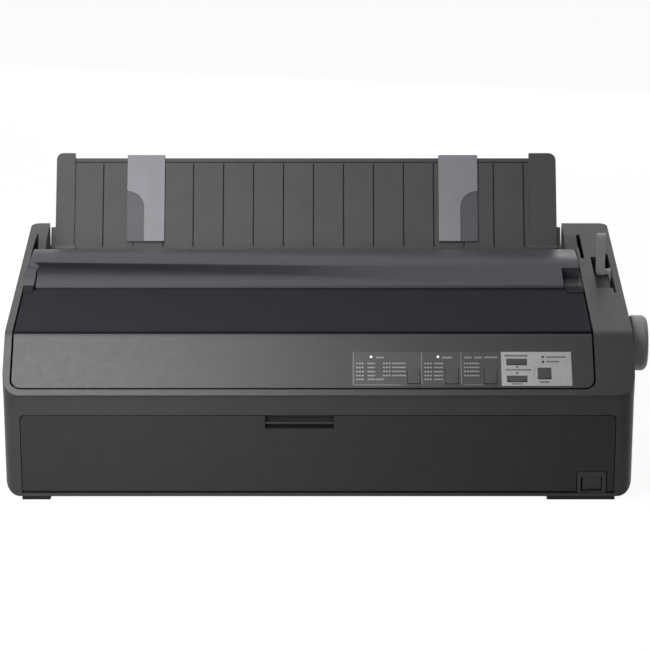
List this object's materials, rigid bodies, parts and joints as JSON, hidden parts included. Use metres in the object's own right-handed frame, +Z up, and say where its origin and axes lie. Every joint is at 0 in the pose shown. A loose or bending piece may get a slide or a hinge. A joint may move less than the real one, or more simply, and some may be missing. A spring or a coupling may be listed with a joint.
{
  "type": "dot matrix printer",
  "caption": "Wide-carriage impact printer with hinged covers, raised sheet guide, platen knob, tractors, print carriage and a sloping control panel.",
  "frame": {"origin": "on the table under the middle of the overall box", "axes": "+X to the right along the length, +Y to the back, +Z up"},
  "size_m": [0.639, 0.402, 0.2426],
  "materials": {
    "case_plastic": "fine moulded texture",
    "fascia_plastic": "satin",
    "smoked_cover": "smooth",
    "bar_plastic": "satin",
    "door_plastic": "fine moulded texture",
    "sheet_guide_plastic": "fine moulded texture",
    "edge_guide_plastic": "satin",
    "dark_label": "printed film",
    "light_label": "printed film",
    "lamp_lens": "clear white",
    "key_plastic": "satin",
    "black_plastic": "satin",
    "lever_plastic": "satin",
    "knob_plastic": "satin",
    "foot_rubber": "matte",
    "platen_rubber": "ground",
    "belt_rubber": "matte",
    "plate_steel": "zinc plated",
    "shaft_steel": "ground",
    "gear_plastic": "natural acetal",
    "brass": "machined",
    "motor_steel": "satin",
    "head_aluminium": "die cast",
    "circuit_board": "solder mask",
    "ribbon_plastic": "satin",
    "blue_plastic": "satin",
    "connector_metal": "plated"
  },
  "bodies": {
    "case": {"lower_case": "case_plastic", "upper_case": "case_plastic", "control_panel_fascia": "fascia_plastic", "status_label": "dark_label", "button_label": "light_label", "indicator_lenses": "lamp_lens", "control_board": "circuit_board", "base_plate": "plate_steel", "left_side_plate": "plate_steel", "right_side_plate": "plate_steel", "guide_shafts": "shaft_steel", "carriage_rail": "plate_steel", "paper_guide_plate": "plate_steel", "ribbon_cartridge": "ribbon_plastic", "carriage_motor": "motor_steel", "carriage_belt": "belt_rubber", "feed_motor": "motor_steel", "feed_belt": "belt_rubber", "main_board": "circuit_board", "power_supply": "plate_steel", "ac_inlet": "black_plastic", "interface_ports": "connector_metal", "rubber_feet": "foot_rubber", "case_screws": "plate_steel", "power_switch_housing": "black_plastic"},
    "printer_cover": {"printer_cover": "smoked_cover"},
    "rear_cover": {"rear_cover": "bar_plastic"},
    "front_sheet_guide": {"front_sheet_guide": "door_plastic"},
    "sheet_guide": {"sheet_guide": "sheet_guide_plastic"},
    "edge_guide_left": {"edge_guide_left": "edge_guide_plastic"},
    "edge_guide_right": {"edge_guide_right": "edge_guide_plastic"},
    "platen": {"platen_roller": "platen_rubber", "platen_shaft": "shaft_steel", "platen_knob": "knob_plastic", "platen_gear": "gear_plastic"},
    "idler": {"idler_gear": "gear_plastic"},
    "pinion": {"feed_pinion": "brass"},
    "tractor_drive": {"tractor_drive_shaft": "shaft_steel"},
    "release_lever": {"paper_release_lever": "lever_plastic"},
    "thickness_lever": {"thickness_lever": "blue_plastic"},
    "carriage": {"carriage": "black_plastic", "print_head": "head_aluminium"},
    "motor_pulley": {"motor_pulley": "gear_plastic"},
    "idler_pulley": {"idler_pulley": "gear_plastic"},
    "ribbon_knob": {"ribbon_knob": "blue_plastic"},
    "power_rocker": {"power_rocker": "key_plastic"},
    "tractor_left": {"tractor_left": "black_plastic"},
    "tractor_left_cover": {"tractor_left_cover": "lever_plastic"},
    "tractor_left_sprocket": {"tractor_left_sprocket": "gear_plastic"},
    "tractor_left_lock": {"tractor_left_lock": "lever_plastic"},
    "tractor_right": {"tractor_right": "black_plastic"},
    "tractor_right_cover": {"tractor_right_cover": "lever_plastic"},
    "tractor_right_sprocket": {"tractor_right_sprocket": "gear_plastic"},
    "tractor_right_lock": {"tractor_right_lock": "lever_plastic"},
    "font_button": {"font_button": "key_plastic"},
    "pitch_button": {"pitch_button": "key_plastic"},
    "tear_off_button": {"tear_off_button": "key_plastic"},
    "micro_feed_button": {"micro_feed_button": "key_plastic"},
    "load_button": {"load_button": "key_plastic"},
    "pause_button": {"pause_button": "key_plastic"}
  },
  "joints": [
    {"name": "printer_cover_hinge", "type": "hinge", "parent": "case", "child": "printer_cover", "pos_m": [0, -0.038, 0.1615], "axis": [-1, 0, 0], "range_deg": [0, 75]},
    {"name": "rear_cover_hinge", "type": "hinge", "parent": "case", "child": "rear_cover", "pos_m": [0, 0.072, 0.166], "axis": [-1, 0, 0], "range_deg": [0, 60]},
    {"name": "front_guide_hinge", "type": "hinge", "parent": "case", "child": "front_sheet_guide", "pos_m": [0, -0.1956, 0.0122], "axis": [1, 0, 0], "range_deg": [0, 80]},
    {"name": "sheet_guide_tilt", "type": "hinge", "parent": "case", "child": "sheet_guide", "pos_m": [0, 0.14276, 0.15], "axis": [1, 0, 0], "range_deg": [-35, 0]},
    {"name": "edge_left_slide", "type": "slide", "parent": "sheet_guide", "child": "edge_guide_left", "axis": [1, 0, 0], "range_m": [-0.05, 0.12]},
    {"name": "edge_right_slide", "type": "slide", "parent": "sheet_guide", "child": "edge_guide_right", "axis": [1, 0, 0], "range_m": [-0.12, 0.05]},
    {"name": "platen_spin", "type": "hinge", "parent": "case", "child": "platen", "pos_m": [0, -0.08, 0.123], "axis": [1, 0, 0], "continuous": true},
    {"name": "idler_spin", "type": "hinge", "parent": "case", "child": "idler", "pos_m": [-0.28, -0.044, 0.09], "axis": [1, 0, 0], "continuous": true},
    {"name": "pinion_spin", "type": "hinge", "parent": "case", "child": "pinion", "pos_m": [-0.27, -0.03, 0.062], "axis": [1, 0, 0], "continuous": true},
    {"name": "tractor_drive_spin", "type": "hinge", "parent": "case", "child": "tractor_drive", "pos_m": [0, 0.112, 0.132], "axis": [1, 0, 0], "continuous": true},
    {"name": "carriage_slide", "type": "slide", "parent": "case", "child": "carriage", "axis": [1, 0, 0], "range_m": [-0.185, 0.185]},
    {"name": "motor_pulley_spin", "type": "hinge", "parent": "case", "child": "motor_pulley", "pos_m": [-0.236, -0.094, 0.075], "axis": [0, 0, 1], "continuous": true},
    {"name": "idler_pulley_spin", "type": "hinge", "parent": "case", "child": "idler_pulley", "pos_m": [0.19, -0.094, 0.075], "axis": [0, 0, 1], "continuous": true},
    {"name": "tractor_left_slide", "type": "slide", "parent": "case", "child": "tractor_left", "axis": [1, 0, 0], "range_m": [-0.03, 0.06]},
    {"name": "tractor_left_cover_hinge", "type": "hinge", "parent": "tractor_left", "child": "tractor_left_cover", "pos_m": [-0.2084, 0.11, 0.144], "axis": [0, -1, 0], "range_deg": [0, 100]},
    {"name": "tractor_left_sprocket_spin", "type": "hinge", "parent": "tractor_left", "child": "tractor_left_sprocket", "pos_m": [-0.196, 0.112, 0.132], "axis": [1, 0, 0], "continuous": true},
    {"name": "tractor_left_lock_pivot", "type": "hinge", "parent": "tractor_left", "child": "tractor_left_lock", "pos_m": [-0.209, 0.096, 0.118], "axis": [1, 0, 0], "range_deg": [0, 40]},
    {"name": "tractor_right_slide", "type": "slide", "parent": "case", "child": "tractor_right", "axis": [1, 0, 0], "range_m": [-0.06, 0.03]},
    {"name": "tractor_right_cover_hinge", "type": "hinge", "parent": "tractor_right", "child": "tractor_right_cover", "pos_m": [0.1564, 0.11, 0.144], "axis": [0, 1, 0], "range_deg": [0, 100]},
    {"name": "tractor_right_sprocket_spin", "type": "hinge", "parent": "tractor_right", "child": "tractor_right_sprocket", "pos_m": [0.144, 0.112, 0.132], "axis": [1, 0, 0], "continuous": true},
    {"name": "tractor_right_lock_pivot", "type": "hinge", "parent": "tractor_right", "child": "tractor_right_lock", "pos_m": [0.157, 0.096, 0.118], "axis": [1, 0, 0], "range_deg": [0, 40]},
    {"name": "release_lever_pivot", "type": "hinge", "parent": "case", "child": "release_lever", "pos_m": [0.29, 0.01, 0.1], "axis": [1, 0, 0], "range_deg": [0, 28]},
    {"name": "thickness_lever_pivot", "type": "hinge", "parent": "case", "child": "thickness_lever", "pos_m": [-0.266, -0.125, 0.095], "axis": [1, 0, 0], "range_deg": [-12, 12]},
    {"name": "power_rocker_pivot", "type": "hinge", "parent": "case", "child": "power_rocker", "pos_m": [0.2575, -0.1895, 0.0175], "axis": [0, 0, 1], "range_deg": [-10, 0]},
    {"name": "ribbon_knob_spin", "type": "hinge", "parent": "case", "child": "ribbon_knob", "pos_m": [0.158, -0.138, 0.14], "axis": [0, 0, 1], "continuous": true},
    {"name": "font_button_press", "type": "slide", "parent": "case", "child": "font_button", "axis": [0, 0.6678, -0.7443], "range_m": [0, 0.001], "stiffness_N_per_m": 250, "springref_m": -0.0004},
    {"name": "pitch_button_press", "type": "slide", "parent": "case", "child": "pitch_button", "axis": [0, 0.6678, -0.7443], "range_m": [0, 0.001], "stiffness_N_per_m": 250, "springref_m": -0.0004},
    {"name": "tear_off_button_press", "type": "slide", "parent": "case", "child": "tear_off_button", "axis": [0, 0.6678, -0.7443], "range_m": [0, 0.001], "stiffness_N_per_m": 250, "springref_m": -0.0004},
    {"name": "micro_feed_button_press", "type": "slide", "parent": "case", "child": "micro_feed_button", "axis": [0, 0.6678, -0.7443], "range_m": [0, 0.001], "stiffness_N_per_m": 250, "springref_m": -0.0004},
    {"name": "load_button_press", "type": "slide", "parent": "case", "child": "load_button", "axis": [0, 0.6678, -0.7443], "range_m": [0, 0.001], "stiffness_N_per_m": 250, "springref_m": -0.0004},
    {"name": "pause_button_press", "type": "slide", "parent": "case", "child": "pause_button", "axis": [0, 0.6678, -0.7443], "range_m": [0, 0.001], "stiffness_N_per_m": 250, "springref_m": -0.0004}
  ],
  "couplings": [
    {"joint": "idler_spin", "follows": "platen_spin", "ratio": -1.1818},
    {"joint": "pinion_spin", "follows": "platen_spin", "ratio": 3.25},
    {"joint": "tractor_drive_spin", "follows": "platen_spin", "ratio": -1.7045},
    {"joint": "tractor_left_sprocket_spin", "follows": "platen_spin", "ratio": -1.7045},
    {"joint": "tractor_right_sprocket_spin", "follows": "platen_spin", "ratio": -1.7045},
    {"joint": "motor_pulley_spin", "follows": "carriage_slide", "rad_per_m": 100},
    {"joint": "idler_pulley_spin", "follows": "carriage_slide", "rad_per_m": 100}
  ]
}
